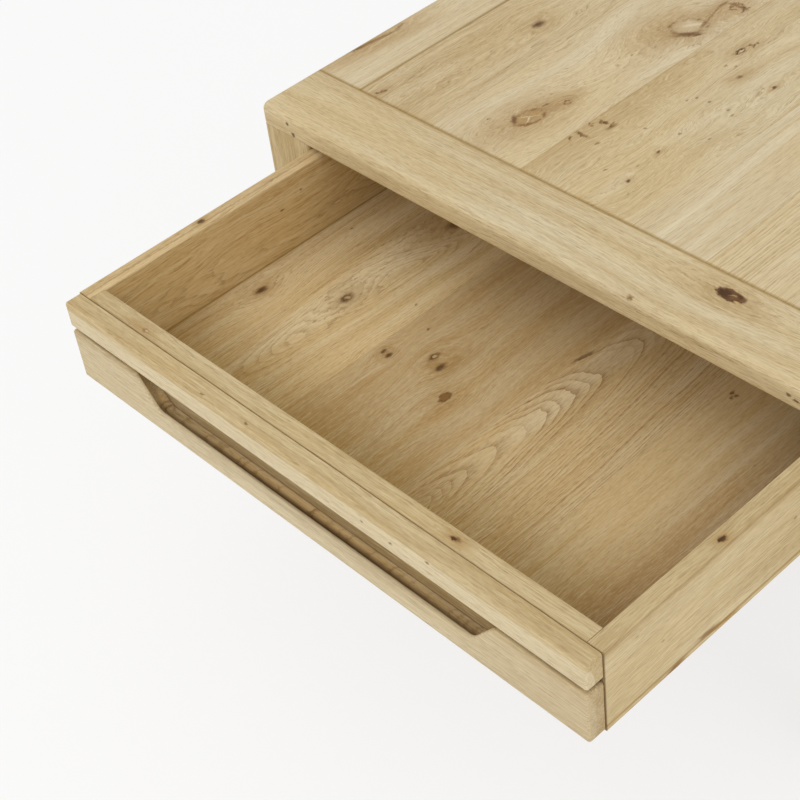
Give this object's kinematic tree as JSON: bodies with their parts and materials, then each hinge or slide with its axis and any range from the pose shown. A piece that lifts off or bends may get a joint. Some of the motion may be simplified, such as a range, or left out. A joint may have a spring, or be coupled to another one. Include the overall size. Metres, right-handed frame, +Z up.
{
  "type": "coffee table with drawers",
  "caption": "Low oak coffee table with a framed plank top, square legs and wooden-runner drawers in its short ends, each front split into a strip over a notched finger grip.",
  "frame": {"origin": "on the floor, at the middle of the four legs", "axes": "+X across the table to the right as seen from the front drawer, +Y along the table from the front drawer to the rear one, +Z up"},
  "size_m": [0.8, 1.509, 0.45],
  "materials": {
    "oak": "light oiled knotty oak",
    "drawer_oak": "oiled knotty oak",
    "oak_veneer": "oiled oak veneer on a thin panel",
    "runner_wood": "plain planed hardwood, waxed",
    "beech": "plain beech dowel",
    "zinc_steel": "bright zinc",
    "glide_plastic": "brown moulded glide"
  },
  "bodies": {
    "table": {"apron_left": "oak", "apron_right": "oak", "bracket_screws": "zinc_steel", "centre_divider": "oak", "closing_stop_front_left": "runner_wood", "closing_stop_front_right": "runner_wood", "closing_stop_rear_left": "runner_wood", "closing_stop_rear_right": "runner_wood", "drawer_rail_front": "oak", "drawer_rail_rear": "oak", "floor_glides": "glide_plastic", "guide_front_left": "runner_wood", "guide_front_right": "runner_wood", "guide_rear_left": "runner_wood", "guide_rear_right": "runner_wood", "guide_screws": "zinc_steel", "leg_front_left": "oak", "leg_front_right": "oak", "leg_rear_left": "oak", "leg_rear_right": "oak", "runner_front_left": "runner_wood", "runner_front_right": "runner_wood", "runner_rear_left": "runner_wood", "runner_rear_right": "runner_wood", "top_brackets": "zinc_steel", "top_front_end_board": "oak", "top_left_edge_board": "oak", "top_rear_end_board": "oak", "top_right_edge_board": "oak", "top_stave_1": "oak", "top_stave_2": "oak", "top_stave_3": "oak", "top_stave_4": "oak", "top_stave_5": "oak", "top_stave_6": "oak"},
    "front_drawer": {"front_drawer_back": "drawer_oak", "front_drawer_bottom": "oak_veneer", "front_drawer_bottom_screws": "zinc_steel", "front_drawer_box_front": "drawer_oak", "front_drawer_catch": "runner_wood", "front_drawer_dowels": "beech", "front_drawer_front_screws": "zinc_steel", "front_drawer_front_strip": "drawer_oak", "front_drawer_left_side": "drawer_oak", "front_drawer_lower_front": "drawer_oak", "front_drawer_right_side": "drawer_oak"},
    "rear_drawer": {"rear_drawer_back": "drawer_oak", "rear_drawer_bottom": "oak_veneer", "rear_drawer_bottom_screws": "zinc_steel", "rear_drawer_box_front": "drawer_oak", "rear_drawer_catch": "runner_wood", "rear_drawer_dowels": "beech", "rear_drawer_front_screws": "zinc_steel", "rear_drawer_front_strip": "drawer_oak", "rear_drawer_left_side": "drawer_oak", "rear_drawer_lower_front": "drawer_oak", "rear_drawer_right_side": "drawer_oak"}
  },
  "joints": [
    {"name": "front_drawer_slide", "type": "slide", "parent": "table", "child": "front_drawer", "axis": [0, -1, 0], "range_m": [-0.311, 0.069]},
    {"name": "rear_drawer_slide", "type": "slide", "parent": "table", "child": "rear_drawer", "axis": [0, 1, 0], "range_m": [0, 0.38]}
  ]
}
